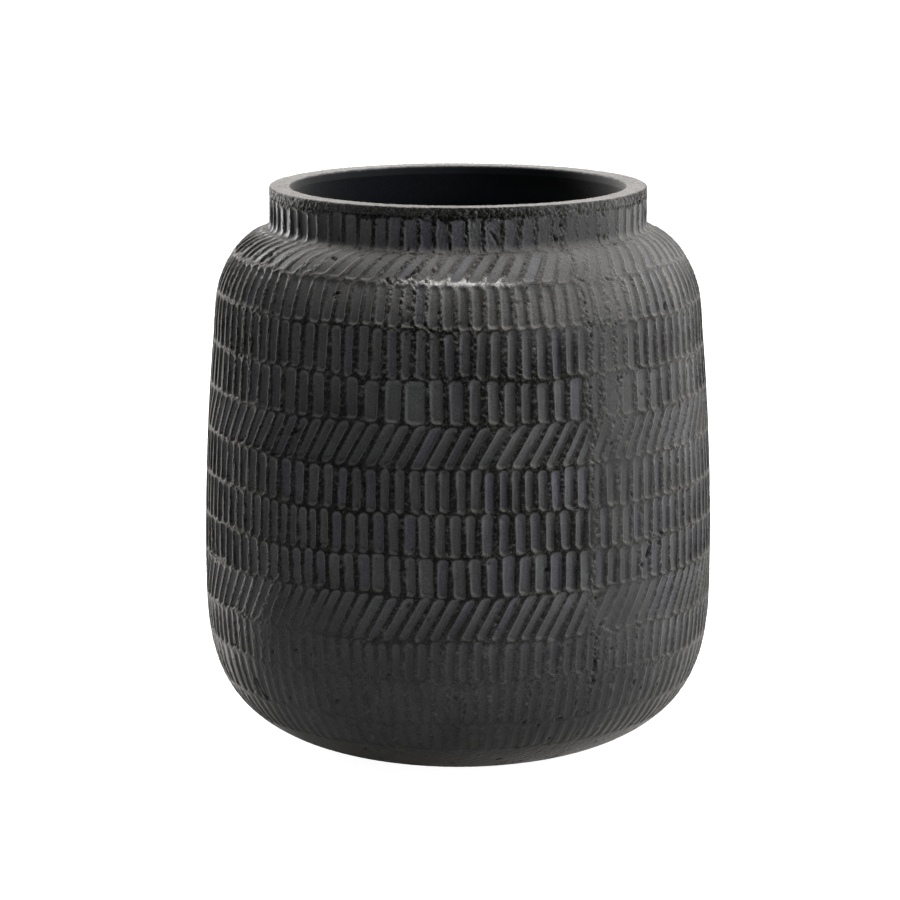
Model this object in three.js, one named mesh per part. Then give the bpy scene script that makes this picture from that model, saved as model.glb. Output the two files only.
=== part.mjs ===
// A black clay pot: a wide, softly tapering body, a rolled shoulder and a short upright neck.
// It is one fired vessel. Each mesh is one of the clay sections that the potter lutes together
// while the clay is wet, and the sections meet face to face on level joints.
// Millimetres, +Z up, with the origin at the centre of the foot on the surface it stands on.

import * as THREE from 'three';

// ---- Driving dimensions ----

const overallHeight = 300.6;
const bellyDiameter = 274.2; // the widest part of the body
const bellyHeight = 111; // how high the widest part is
const springDiameter = 261.8; // where the wall stops tapering and the shoulder starts to roll in
const shoulderRise = 48; // from there up to the neck
const neckDiameter = 202.2;
const neckHeight = 21.6; // from the shoulder to the top of the rim
const lipHeight = 4.8; // the plain strip round the top of the neck
const footDiameter = 154; // the flat that it stands on

const wallThickness = 11.6;
const floorThickness = 11;
const plainHeight = 20; // below this the wall is left plain
const lipRounding = 1.2; // both edges of the rim
const hollowDiameter = 122; // the shallow hollow under the foot
const hollowDepth = 1.5;
const hollowSlope = 3; // how far its edge takes to fall to full depth

// Outline shape: the foot is a squared-off round, the taper a gentle power curve, and the
// shoulder an arc that has turned this far from upright where it meets the neck.
const footRoundHeightPower = 3.8;
const footRoundRadiusPower = 2.85;
const taperPower = 1.7;
const shoulderSweep = THREE.MathUtils.degToRad(80);

// The stamped courses from the neck down, by their height along the wall. They are stretched
// together to fill the wall, and the sections of the wall are joined on course lines.
const courseHeights = [25.3, 24.0, 25.2, 22.4, 22.6, 22.5, 21.5, 20.7, 23.5, 21.2, 24.9, 20.8];
const coursesInSection = { shoulder: 1, upper_wall: 3, belly_wall: 4, lower_wall: 4 };

// ---- Fineness of the meshes ----

const segmentsAround = 64;
const outlineStep = 12; // the longest step along the outline
const roundingSteps = 3;
const fineSteps = 600; // for measuring along the outline and offsetting it

// ---- Outline ----

const shoulderTop = overallHeight - neckHeight;
const springHeight = shoulderTop - shoulderRise;
const bellyRadius = bellyDiameter / 2;
const springRadius = springDiameter / 2;
const neckRadius = neckDiameter / 2;
const footRadius = footDiameter / 2;
const innerNeckRadius = neckRadius - wallThickness;

// How far below the belly the foot's round would close if the flat didn't cut it off.
const footRoundDepth =
  bellyHeight /
  (1 - (footRadius / bellyRadius) ** footRoundRadiusPower) ** (1 / footRoundHeightPower);

// The outer radius of the body at a height, from the foot to the top of the shoulder.
function outerRadius(height) {
  if (height <= bellyHeight) {
    const down = (bellyHeight - height) / footRoundDepth;
    return bellyRadius * (1 - down ** footRoundHeightPower) ** (1 / footRoundRadiusPower);
  }
  if (height <= springHeight) {
    const up = (height - bellyHeight) / (springHeight - bellyHeight);
    return bellyRadius - (bellyRadius - springRadius) * up ** taperPower;
  }
  const reach = (springRadius - neckRadius) / (1 - Math.cos(shoulderSweep));
  const rise = shoulderRise / Math.sin(shoulderSweep);
  const turned = Math.asin(Math.min((height - springHeight) / rise, Math.sin(shoulderSweep)));
  return springRadius - reach * (1 - Math.cos(turned));
}

// Fine points along the outside of the body, from the foot up, closer together at both ends.
function outerLine() {
  const points = [];
  for (let i = 0; i <= fineSteps; i += 1) {
    const height = (shoulderTop * (1 - Math.cos((Math.PI * i) / fineSteps))) / 2;
    points.push(new THREE.Vector2(outerRadius(height), height));
  }
  return points;
}

// The same line moved in by the wall's thickness, kept where it still rises.
function innerLine(outer) {
  const points = [];
  outer.forEach((point, i) => {
    const before = outer[Math.max(i - 1, 0)];
    const after = outer[Math.min(i + 1, outer.length - 1)];
    const along = after.clone().sub(before).normalize();
    const inward = new THREE.Vector2(-along.y, along.x).multiplyScalar(wallThickness);
    const moved = point.clone().add(inward);
    if (points.length === 0 || moved.y > points.at(-1).y) points.push(moved);
  });
  return points;
}

// The radius of a rising line at a height.
function radiusOn(line, height) {
  const next = line.findIndex((point) => point.y >= height);
  if (next === 0) return line[0].x;
  if (next < 0) return line.at(-1).x;
  const [low, high] = [line[next - 1], line[next]];
  return THREE.MathUtils.mapLinear(height, low.y, high.y, low.x, high.x);
}

const outside = outerLine();
const inside = innerLine(outside);

// The inner radius at a height: the offset line, and above the belly no less than the neck's bore.
function innerRadius(height) {
  if (height > inside.at(-1).y) return innerNeckRadius;
  const onLine = radiusOn(inside, height);
  return height > bellyHeight ? Math.max(onLine, innerNeckRadius) : onLine;
}

// Heights at given distances along the outside, counted down from the top of the shoulder.
function heightsDown(distances) {
  const heights = [];
  let walked = 0;
  for (let i = outside.length - 1; i > 0; i -= 1) {
    const step = outside[i].distanceTo(outside[i - 1]);
    while (heights.length < distances.length && distances[heights.length] <= walked + step) {
      const share = (distances[heights.length] - walked) / step;
      heights.push(THREE.MathUtils.lerp(outside[i].y, outside[i - 1].y, share));
    }
    walked += step;
  }
  return heights;
}

// How long the outside is between two heights.
function lengthAlong(low, high) {
  const between = outside.filter((point) => point.y > low && point.y < high);
  const ends = [low, high].map((height) => new THREE.Vector2(radiusOn(outside, height), height));
  const line = [ends[0], ...between, ends[1]];
  return line.slice(1).reduce((sum, point, i) => sum + point.distanceTo(line[i]), 0);
}

// The height at which each section of the wall ends, top down.
function sectionFloors() {
  const nominal = courseHeights.reduce((sum, height) => sum + height, 0);
  const stretch = lengthAlong(plainHeight, shoulderTop) / nominal;
  const counts = Object.values(coursesInSection);
  const distances = counts.slice(0, -1).map((_, i) => {
    const courses = counts.slice(0, i + 1).reduce((sum, count) => sum + count, 0);
    return stretch * courseHeights.slice(0, courses).reduce((sum, height) => sum + height, 0);
  });
  return [...heightsDown(distances), plainHeight];
}

// ---- Solids ----

// Heights from low to high in steps no longer than outlineStep along the outside.
function levels(low, high) {
  const steps = Math.max(2, Math.ceil(lengthAlong(low, high) / outlineStep));
  return Array.from({ length: steps + 1 }, (_, i) => low + ((high - low) * i) / steps);
}

// A quarter round from one direction to the next, about a centre, as outline points.
function quarterRound(centre, radius, startAngle) {
  return Array.from({ length: roundingSteps + 1 }, (_, i) => {
    const angle = startAngle + (i * Math.PI) / 2 / roundingSteps;
    return new THREE.Vector2(
      centre.x + radius * Math.cos(angle),
      centre.y + radius * Math.sin(angle),
    );
  });
}

// Turns an outline, anticlockwise with the axis on its left, into a closed solid about +Z.
function turned(points) {
  const geometry = new THREE.LatheGeometry(points, segmentsAround);
  return geometry.rotateX(Math.PI / 2);
}

// A ring's outline closes on itself.
function ring(points) {
  return turned([...points, points[0].clone()]);
}

// A ring of the body's wall between two level joints.
function wallRing(low, high) {
  const heights = levels(low, high);
  const outer = heights.map((height) => new THREE.Vector2(outerRadius(height), height));
  const inner = heights.map((height) => new THREE.Vector2(innerRadius(height), height));
  return ring([...outer, ...inner.reverse()]);
}

function neckRing(low, high) {
  return ring([
    new THREE.Vector2(neckRadius, low),
    new THREE.Vector2(neckRadius, high),
    new THREE.Vector2(innerNeckRadius, high),
    new THREE.Vector2(innerNeckRadius, low),
  ]);
}

// The rim: the plain strip with both of its top edges rounded over.
function lipRing(low, high) {
  const roundHeight = high - lipRounding;
  const outerCentre = new THREE.Vector2(neckRadius - lipRounding, roundHeight);
  const innerCentre = new THREE.Vector2(innerNeckRadius + lipRounding, roundHeight);
  return ring([
    new THREE.Vector2(neckRadius, low),
    ...quarterRound(outerCentre, lipRounding, 0),
    ...quarterRound(innerCentre, lipRounding, Math.PI / 2),
    new THREE.Vector2(innerNeckRadius, low),
  ]);
}

// The slab that the wall is built on, with the shallow hollow under it.
function floorSlab(thickness) {
  const hollowRadius = hollowDiameter / 2;
  const edge = levels(0, thickness).map((height) => new THREE.Vector2(outerRadius(height), height));
  return turned([
    new THREE.Vector2(0, hollowDepth),
    new THREE.Vector2(hollowRadius - hollowSlope, hollowDepth),
    new THREE.Vector2(hollowRadius, 0),
    ...edge,
    new THREE.Vector2(innerRadius(thickness), thickness),
    new THREE.Vector2(0, thickness),
  ]);
}

// ---- Pieces ----

const clayColours = { dark: '#303032', body: '#3d3d40', warm: '#4b4845', rim: '#6d6a66' };

function piece(name, geometry, colour, roughness) {
  const material = new THREE.MeshStandardMaterial({ color: colour, roughness, metalness: 0 });
  const mesh = new THREE.Mesh(geometry, material);
  mesh.name = name;
  return mesh;
}

const pot = new THREE.Group();
pot.name = 'black_clay_pot';

pot.add(piece('floor_slab', floorSlab(floorThickness), clayColours.dark, 0.92));
pot.add(piece('foot_curve', wallRing(floorThickness, plainHeight), clayColours.dark, 0.92));

let top = shoulderTop;
const floors = sectionFloors();
Object.keys(coursesInSection).forEach((name, i) => {
  const colour = name === 'shoulder' ? clayColours.warm : clayColours.body;
  pot.add(piece(name, wallRing(floors[i], top), colour, 0.88));
  top = floors[i];
});

const lipBase = overallHeight - lipHeight;
pot.add(piece('neck_collar', neckRing(shoulderTop, lipBase), clayColours.body, 0.88));
pot.add(piece('rim_lip', lipRing(lipBase, overallHeight), clayColours.rim, 0.84));

export default pot;
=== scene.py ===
"""The looks of a stamped black clay pot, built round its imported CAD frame.

The pot is one fired vessel made of clay sections luted together. The frame gives each section's
place and outline. A fine skin of clay is laid over that outline, the stamped courses, pits and
cracks are pressed into it as real relief, and it is cut back into the sections and their courses.
Clay is worked in millimetres here, and each finished mesh is written in metres.
"""

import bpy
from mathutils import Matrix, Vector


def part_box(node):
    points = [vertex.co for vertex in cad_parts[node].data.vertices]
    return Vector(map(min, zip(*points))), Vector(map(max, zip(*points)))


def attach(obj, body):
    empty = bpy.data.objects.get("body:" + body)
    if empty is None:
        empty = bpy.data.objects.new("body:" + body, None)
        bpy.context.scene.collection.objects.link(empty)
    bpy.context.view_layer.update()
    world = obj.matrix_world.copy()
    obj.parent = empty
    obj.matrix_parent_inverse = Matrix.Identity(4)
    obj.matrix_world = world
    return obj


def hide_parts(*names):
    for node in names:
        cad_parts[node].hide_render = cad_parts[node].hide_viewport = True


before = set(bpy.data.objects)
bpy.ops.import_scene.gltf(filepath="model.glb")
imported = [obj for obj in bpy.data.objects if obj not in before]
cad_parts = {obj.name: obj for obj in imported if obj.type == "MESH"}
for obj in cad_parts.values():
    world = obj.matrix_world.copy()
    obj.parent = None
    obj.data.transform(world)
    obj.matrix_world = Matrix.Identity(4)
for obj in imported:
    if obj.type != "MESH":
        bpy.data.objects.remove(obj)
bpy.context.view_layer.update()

import logging
import math
from dataclasses import dataclass, field
from enum import Enum

import bpy
import numpy as np
from mathutils import Vector

log = logging.getLogger("clay_pot")

MM = 0.001
TURN = 2 * math.pi
BODY = "root"

COLUMNS = 1440  # fine columns round the skin
INNER_SHARE = 4  # fine columns for each coarse one on hidden and plain faces
ROW_STEP = 0.75  # mm between the skin's rows
SEED = 20

# The marks that working the skin leaves on it, for the finishes to read.
# Some also paint light and shade: the dust mark lightens level faces as if lit from above,
# the wear mark paints a highlight on the rim's inner edge, the pit mark paints pits dark as
# shade, and the soot mark paints the inside and the underside dark as shade as well as soot.
MARKS = ("floor", "tone", "worn_and_rim_highlight", "rubbed", "burnished", "dusty_and_top_lit", "crumb", "pit", "soot_and_shade")

Colour = tuple[float, float, float, float]
Line = tuple[np.ndarray, np.ndarray]


class Slot(Enum):
    """The frame's material slots."""

    STAMPED = "stamped_clay"
    PLAIN = "plain_clay"


class Lean(Enum):
    """How a course's grooves stand, in degrees from upright, top end to the right."""

    UPRIGHT = 0.0
    SLANTED = 28.0


def eased(value: np.ndarray) -> np.ndarray:
    """A smooth step from 0 to 1."""
    clipped = np.clip(value, 0.0, 1.0)
    return clipped * clipped * (3.0 - 2.0 * clipped)


def turned_past(angle: np.ndarray, start: float) -> np.ndarray:
    """The signed angle from start, between minus and plus half a turn."""
    return (angle - start + math.pi) % TURN - math.pi


def run_along(points: np.ndarray) -> np.ndarray:
    """How far along a line each of its points lies, from 0 at the first."""
    return np.concatenate([[0.0], np.cumsum(np.hypot(*np.diff(points, axis=0).T))])


def curve_through(points: np.ndarray, step: float) -> np.ndarray:
    """Fine points on a smooth curve through a few.

    Args:
        points: the curve's own points, one row each.
        step: the longest distance between two fine points.

    Returns:
        The fine points, one row each, with both ends kept.
    """
    knots = run_along(points)
    slopes = np.gradient(points, knots, axis=0)
    fine = np.linspace(0.0, knots[-1], int(knots[-1] / step) + 2)
    cell = np.clip(np.searchsorted(knots, fine, side="right") - 1, 0, len(knots) - 2)
    width = (knots[cell + 1] - knots[cell])[:, None]
    t = (fine - knots[cell])[:, None] / width
    return (
        (2 * t**3 - 3 * t**2 + 1) * points[cell]
        + (t**3 - 2 * t**2 + t) * width * slopes[cell]
        + (3 * t**2 - 2 * t**3) * points[cell + 1]
        + (t**3 - t**2) * width * slopes[cell + 1]
    )


def quarter(centre: tuple[float, float], radius: float, start: float) -> np.ndarray:
    """Fine points of a quarter round that turns left.

    Args:
        centre: its centre.
        radius: its radius.
        start: the angle where it starts, in degrees.

    Returns:
        The points, one row each.
    """
    fine = 24
    turned = np.radians(start) + np.linspace(0.0, math.pi / 2, fine)
    return np.column_stack(
        [centre[0] + radius * np.cos(turned), centre[1] + radius * np.sin(turned)]
    )


@dataclass
class Outline:
    """The pot's outside and inside lines as (radius, height) points, read from the frame.

    Args:
        fillet: how far the wet clay of the neck joint runs up and out from its corner, in mm.
        fineness: the spacing of the fine points, in mm.
    """

    fillet: float = 2.6
    fineness: float = 0.1
    neck_foot: float = field(init=False)
    outside: np.ndarray = field(init=False)
    inside: np.ndarray = field(init=False)
    floor_level: float = field(init=False)
    hollow: tuple[float, float, float] = field(init=False)

    def __post_init__(self) -> None:
        """Reads the rings of the frame's sections and joins them to smooth lines."""
        self.neck_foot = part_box("neck_collar")[0].z / MM
        self.floor_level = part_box("floor_slab")[1].z / MM
        self.outside = self.outside_line()
        self.inside = self.inside_line()
        self.hollow = self.foot_hollow()

    def rings(self, *nodes: str) -> dict[float, tuple[float, float]]:
        """Each ring's height, with its smallest and largest radius.

        Args:
            nodes: the frame's sections to read.

        Returns:
            A table from height to both radii, in mm.
        """
        found: dict[float, tuple[float, float]] = {}
        for node in nodes:
            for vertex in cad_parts[node].data.vertices:
                height = round(vertex.co.z / MM, 1)
                radius = math.hypot(vertex.co.x, vertex.co.y) / MM
                low, high = found.get(height, (radius, radius))
                found[height] = (min(low, radius), max(high, radius))
        return found

    def outside_line(self) -> np.ndarray:
        """The line from the foot's edge up the wall and neck, over the rim and to its bore.

        Returns:
            Fine points as (radius, height), in mm.
        """
        rings = self.rings("floor_slab", "foot_curve", "lower_wall", "belly_wall",
                           "upper_wall", "shoulder")
        foot = rings[0.0][1]
        body = np.array([(high, z) for z, (_, high) in sorted(rings.items()) if high >= foot])
        rim = self.rings("rim_lip")
        top = max(rim)
        neck_radius, bore = rim[min(rim)][1], rim[min(rim)][0]
        flat_in, flat_out = rim[top]
        rounding = neck_radius - flat_out
        body_line = curve_through(body, self.fineness)
        corner = body_line[-1]
        reach = np.hypot(*(body_line - corner).T)
        kept = body_line[reach > self.fillet]
        up = corner + (0.0, self.fillet)
        bend_points = 40
        t = np.linspace(0.0, 1.0, bend_points)[:, None]
        bend = (1 - t) ** 2 * kept[-1] + 2 * t * (1 - t) * corner + t**2 * up
        line = np.vstack([
            kept,
            bend[1:],
            quarter((flat_out, top - rounding), rounding, 0.0),
            quarter((flat_in, top - rounding), flat_in - bore, 90.0),
        ])
        length = run_along(line)
        fine = np.linspace(0.0, length[-1], int(length[-1] / self.fineness))
        return np.column_stack([np.interp(fine, length, side) for side in line.T])

    def inside_line(self) -> np.ndarray:
        """The line from the inside floor's edge up to the neck's bore.

        Returns:
            Fine points as (radius, height), in mm.
        """
        rings = self.rings("foot_curve", "lower_wall", "belly_wall", "upper_wall", "shoulder",
                           "neck_collar")
        points = np.array([(low, z) for z, (low, _) in sorted(rings.items())])
        return curve_through(points, self.fineness)

    def foot_hollow(self) -> tuple[float, float, float]:
        """Reads the shallow hollow under the foot.

        Returns:
            Its rim's radius, its flat's radius and its depth, in mm.
        """
        standing_ring = 10.0
        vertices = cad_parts["floor_slab"].data.vertices
        rings = sorted({
            (round(math.hypot(v.co.x, v.co.y) / MM, 1), round(v.co.z / MM, 2))
            for v in vertices
            if v.co.z / MM < self.floor_level / 4
        })
        flats = [ring for ring in rings if ring[1] > 0]
        flat = max(radius for radius, _ in flats if radius < rings[-1][0] - standing_ring)
        rim = min(radius for radius, z in rings if z == 0)
        return rim, flat, flats[0][1]

    def inside_radius(self, height: np.ndarray) -> np.ndarray:
        """The inside radius at some heights, in mm."""
        return np.interp(height, self.inside[:, 1], self.inside[:, 0])


@dataclass(frozen=True)
class Noise:
    """Smooth random unevenness that closes on itself round the pot.

    Args:
        seed: which unevenness it is.
    """

    seed: int

    def over(self, along: np.ndarray, angle: np.ndarray, tall: float, wide: float) -> np.ndarray:
        """Unevenness from -1 to 1 over rows and columns.

        Args:
            along: the rows' lengths along the wall, in mm.
            angle: the columns' angles.
            tall: the height of one lump, in mm.
            wide: the width of one lump, in mm on a wall of the pot's mean radius.

        Returns:
            One value for each row and column.
        """
        mean_girth = 820.0
        around = max(3, round(mean_girth / wide))
        rows = int((along.max() - along.min()) / tall) + 3
        lattice = np.random.default_rng([SEED, self.seed]).uniform(-1, 1, (rows, around))
        place = (angle % TURN) / TURN * around
        cell = np.floor(place).astype(int)
        share = eased(place - cell)
        columns = lattice[:, cell % around] * (1 - share)
        columns += lattice[:, (cell + 1) % around] * share
        place = (along - along.min()) / tall
        cell = np.floor(place).astype(int)
        share = eased(place - cell)[:, None]
        return columns[cell] * (1 - share) + columns[cell + 1] * share


def level_noise(seed: int, angle: np.ndarray, wide: float) -> np.ndarray:
    """Unevenness of a level line round the pot, from -1 to 1.

    Args:
        seed: which unevenness it is.
        angle: the columns' angles.
        wide: the width of one lump, in mm on a wall of the pot's mean radius.

    Returns:
        One value for each column.
    """
    return Noise(seed).over(np.zeros(1), angle, 1.0, wide)[0]


@dataclass(frozen=True)
class Spot:
    """A soft-edged area of the wall where the clay differs.

    Args:
        angle: its middle, in degrees to the right of the front.
        height: its middle's height, in mm.
        wide: its half width, in mm.
        tall: its half height, in mm.
        amount: how much the clay differs in its middle.
    """

    angle: float
    height: float
    wide: float
    tall: float
    amount: float


@dataclass
class Skin:
    """The fine grid of clay over the outline, by rows up the wall and columns round it.

    Args:
        outline: the pot's lines.
        breaks: the heights, in mm, where a section or course ends and a row must lie.
    """

    outline: Outline
    breaks: list[float]
    angle: np.ndarray = field(init=False)
    along: np.ndarray = field(init=False)
    radius: np.ndarray = field(init=False)
    height: np.ndarray = field(init=False)
    out: np.ndarray = field(init=False)
    fall: np.ndarray = field(init=False)
    break_rows: dict[float, int] = field(init=False)
    depth: np.ndarray = field(init=False)
    marks: dict[str, np.ndarray] = field(init=False)

    def __post_init__(self) -> None:
        """Lays the rows out along the outline, with no relief yet."""
        line = self.outline.outside
        length = run_along(line)
        rising = int(np.argmax(line[:, 1] >= line[:, 1].max() - 1e-6)) + 1
        stops = [float(np.interp(z, line[:rising, 1], length[:rising])) for z in self.breaks]
        stops.append(float(length[-1]))
        rows = [np.array([stops[0]])]
        self.break_rows = {self.breaks[0]: 0}
        count = 0
        for level, (low, high) in zip([*self.breaks[1:], None], zip(stops, stops[1:])):
            steps = max(1, round((high - low) / ROW_STEP))
            rows.append(np.linspace(low, high, steps + 1)[1:])
            count += steps
            if level is not None:
                self.break_rows[level] = count
        self.along = np.concatenate(rows)
        self.radius, self.height = (np.interp(self.along, length, side) for side in line.T)
        tangent = np.gradient(line, length, axis=0)
        slope = np.column_stack([np.interp(self.along, length, side) for side in tangent.T])
        slope /= np.hypot(*slope.T)[:, None]
        self.out = np.column_stack([slope[:, 1], -slope[:, 0]])
        corner = float(np.interp(self.outline.neck_foot, line[:rising, 1], length[:rising]))
        self.fall = corner - self.along
        self.angle = np.arange(COLUMNS) * TURN / COLUMNS
        shape = (len(self.along), COLUMNS)
        self.depth = np.zeros(shape)
        self.marks = {name: np.zeros(shape) for name in MARKS}

    def points(self) -> np.ndarray:
        """Where the worked clay lies.

        Returns:
            The grid's points in mm, rows by columns by three.
        """
        radius = self.radius[:, None] - self.depth * self.out[:, :1]
        height = self.height[:, None] - self.depth * self.out[:, 1:]
        return np.stack(
            [radius * np.sin(self.angle), -radius * np.cos(self.angle), height], axis=-1
        )

    def noise(self, seed: int, tall: float, wide: float) -> np.ndarray:
        """Unevenness over the whole skin, from -1 to 1."""
        return Noise(seed).over(self.along, self.angle, tall, wide)

    def blob(self, spot: Spot) -> np.ndarray:
        """A spot's soft mask over the skin.

        Args:
            spot: the spot.

        Returns:
            Its amount in its middle, fading to 0, for each row and column.
        """
        off = turned_past(self.angle, math.radians(spot.angle))
        across = off * self.radius[:, None] / spot.wide
        up = (self.height[:, None] - spot.height) / spot.tall
        return spot.amount * np.exp(-(across**2) - up**2)

    def spotted(self, spots: tuple[Spot, ...], start: np.ndarray | float) -> np.ndarray:
        """A start value with all of some spots added.

        Args:
            spots: the spots.
            start: the value away from them.

        Returns:
            A value for each row and column.
        """
        values = np.zeros(self.depth.shape) + start
        for spot in spots:
            values += self.blob(spot)
        return values


@dataclass(frozen=True)
class Course:
    """One row of stamped grooves.

    Args:
        height: its height along the wall before the courses are stretched to fill it, in mm.
        grooves: how many grooves a whole turn holds.
        share: a groove's width as a share of its pitch.
        lean: how its grooves stand.
        firmness: how hard the stamp was pressed.
        wide_at: where the stamp's worn, wider groove falls, in degrees, if it does.
    """

    height: float
    grooves: int
    share: float
    lean: Lean = Lean.UPRIGHT
    firmness: float = 1.0
    wide_at: float | None = None


# The courses from the neck down: the stamped pattern comes round again every four courses.
COURSES = (
    Course(25.3, 80, 0.62, Lean.SLANTED, 0.6),
    Course(24.0, 106, 0.60, firmness=0.9),
    Course(25.2, 106, 0.53),
    Course(22.4, 87, 0.56, wide_at=-9.6),
    Course(22.6, 103, 0.56, Lean.SLANTED),
    Course(22.5, 108, 0.53),
    Course(21.5, 111, 0.55),
    Course(20.7, 103, 0.60, wide_at=-6.8),
    Course(23.5, 111, 0.58, Lean.SLANTED, 0.8),
    Course(21.2, 118, 0.52, firmness=0.55),
    Course(24.9, 115, 0.50, firmness=0.45),
    Course(20.8, 115, 0.50, firmness=0.4),
)
NECK_COURSE = Course(15.2, 74, 0.66, firmness=0.62)
NECK_SEED = 40

# The wall's sections from the neck down, with how many courses each has.
SECTIONS = {"shoulder": 1, "upper_wall": 3, "belly_wall": 4, "lower_wall": 4}


def course_levels(outline: Outline) -> list[float]:
    """The heights of all course lines from the neck down, in mm.

    Args:
        outline: the pot's lines.

    Returns:
        One more height than there are courses; the sections' joints are among them.
    """
    line = outline.outside
    body = line[: int(np.argmax(line[:, 1] >= outline.neck_foot)) + 1]
    length = run_along(body)
    levels = [outline.neck_foot]
    first = 0
    for section, count in SECTIONS.items():
        low, high = (corner.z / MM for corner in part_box(section))
        bottom, top = np.interp([low, high], body[:, 1], length)
        shares = np.cumsum([course.height for course in COURSES[first:first + count]])
        for share in shares[:-1] / shares[-1]:
            levels.append(float(np.interp(top + (bottom - top) * share, length, body[:, 1])))
        levels.append(low)
        first += count
    return levels


@dataclass(frozen=True)
class Hand:
    """How unevenly the potter's hand presses one groove after another.

    Args:
        drift: how far the grooves drift round a course, as a share of their pitch.
        drift_wide: the width of one drift, in mm.
        aside: how far a groove stands off its place, as a share of the pitch.
        wider: how much its width varies, as a share.
        tilt: how far it leans off, in degrees.
        lift: how far it rides up or down, in mm.
        stretch: how much shorter and longer it may be than its course, in mm.
        firm: the lightest and the hardest press, as shares.
        roll: the slope across its floor where the stamp rolled.
        heel: how much deeper its lower half is than its upper, as a share.
    """

    drift: float = 0.5
    drift_wide: float = 60.0
    aside: float = 0.05
    wider: float = 0.13
    tilt: float = 1.4
    lift: float = 0.38
    stretch: tuple[float, float] = (-0.5, 0.35)
    firm: tuple[float, float] = (0.82, 1.08)
    roll: float = 0.035
    heel: float = 0.1


@dataclass(frozen=True)
class Stamp:
    """The carved stamp that presses the grooves, in mm.

    Args:
        depth: how deep a firm groove is.
        side: how far a groove's side takes to fall to its floor.
        head: how far its upper end takes.
        heel: how far its lower end takes.
        corner: the rounding of a groove's ends.
        gap: the clay left between a course line and the grooves' ends.
        worn_share: how much of its pitch the worn, wider groove takes.
        smoothing: the share of the fall where smooth clay starts, and over how much it grows.
        hand: how unevenly it is pressed.
    """

    depth: float = 2.0
    side: float = 1.1
    head: float = 3.2
    heel: float = 1.2
    corner: float = 1.9
    gap: float = 1.0
    worn_share: float = 0.82
    smoothing: tuple[float, float] = (0.12, 0.35)
    hand: Hand = Hand()

    def press(self, skin: Skin, course: Course, lines: Line, seam: float, seed: int) -> None:
        """Presses one course into the skin.

        Args:
            skin: the skin to press.
            course: the course's grooves.
            lines: the course's upper and lower line, by their fall below the neck at each column.
            seam: the angle where the stamp starts and ends its turn.
            seed: which hand's unevenness the course has.
        """
        upper, lower = lines
        rows = np.flatnonzero((skin.fall > upper.min()) & (skin.fall < lower.max()))
        rows = slice(rows[0], rows[-1] + 1)
        radius = skin.radius[rows, None]
        middle = (upper + lower) / 2
        below = skin.fall[rows, None] - middle
        half_tall = (lower - upper) / 2 - self.gap
        pitch = TURN / course.grooves
        hand = self.hand
        drift = level_noise(seed + 100, skin.angle, hand.drift_wide) * hand.drift * pitch
        around = ((skin.angle - seam) % TURN + drift)[None]
        if course.wide_at is not None:
            column = round(math.radians(course.wide_at) / TURN * COLUMNS) % COLUMNS
            place = around[0, column] / pitch
            around = around + (math.floor(place) + 0.5 - place) * pitch
        around = around + math.tan(math.radians(course.lean.value)) * below / radius
        number = np.clip(np.floor(around / pitch).astype(int), 0, course.grooves - 1)

        draw = np.random.default_rng([SEED, seed])
        each = course.grooves
        off = draw.uniform(-hand.aside, hand.aside, each)[number]
        width = (course.share * (1 + draw.uniform(-hand.wider, hand.wider, each)))[number]
        tilt = np.tan(np.radians(draw.normal(0.0, hand.tilt, each)))[number]
        lift = draw.normal(0.0, hand.lift, each)[number]
        stretch = draw.uniform(*hand.stretch, each)[number]
        firm = draw.uniform(*hand.firm, each)[number]
        roll = draw.normal(0.0, hand.roll, each)[number]
        tone = draw.uniform(-1.0, 1.0, each)[number]
        if course.wide_at is not None:
            width = np.where(number == math.floor(place), self.worn_share, width)

        across = (around - (number + 0.5 + off) * pitch) * radius + tilt * below
        half_wide = width * pitch * radius / 2
        past_side = np.abs(across) - (half_wide - self.corner)
        past_end = np.abs(below - lift) - (half_tall + stretch - self.corner)
        outside = np.hypot(np.maximum(past_side, 0), np.maximum(past_end, 0))
        edge = outside + np.minimum(np.maximum(past_side, past_end), 0) - self.corner
        run = self.side + (self.head - self.side) * eased(-below / half_tall)
        run += (self.heel - self.side) * eased(below / half_tall)
        fallen = eased(0.5 - edge / run)
        deeper = 1 + hand.heel * below / half_tall
        inside = (below > -half_tall - self.gap) & (below < half_tall + self.gap)
        pressed = fallen * firm * deeper * course.firmness * self.depth + roll * across * fallen
        skin.depth[rows] += np.where(inside, np.maximum(pressed, 0), 0)
        start, growth = self.smoothing
        skin.marks["floor"][rows] += np.where(inside, eased((fallen - start) / growth), 0)
        skin.marks["tone"][rows] += np.where(inside, tone * fallen, 0)


WALL_STAMP = Stamp()
NECK_STAMP = Stamp(depth=1.8, head=3.0, heel=4.5, corner=1.4, gap=0.2)


@dataclass(frozen=True)
class Gouge:
    """A scratch, crack or torn pit.

    Args:
        angle: its middle, in degrees to the right of the front.
        height: its middle's height, in mm.
        length: how long it is, in mm.
        width: its half width, in mm.
        depth: how deep it is, in mm.
        heading: which way it runs, in degrees from level, rising to the right.
    """

    angle: float
    height: float
    length: float
    width: float
    depth: float
    heading: float


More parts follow.
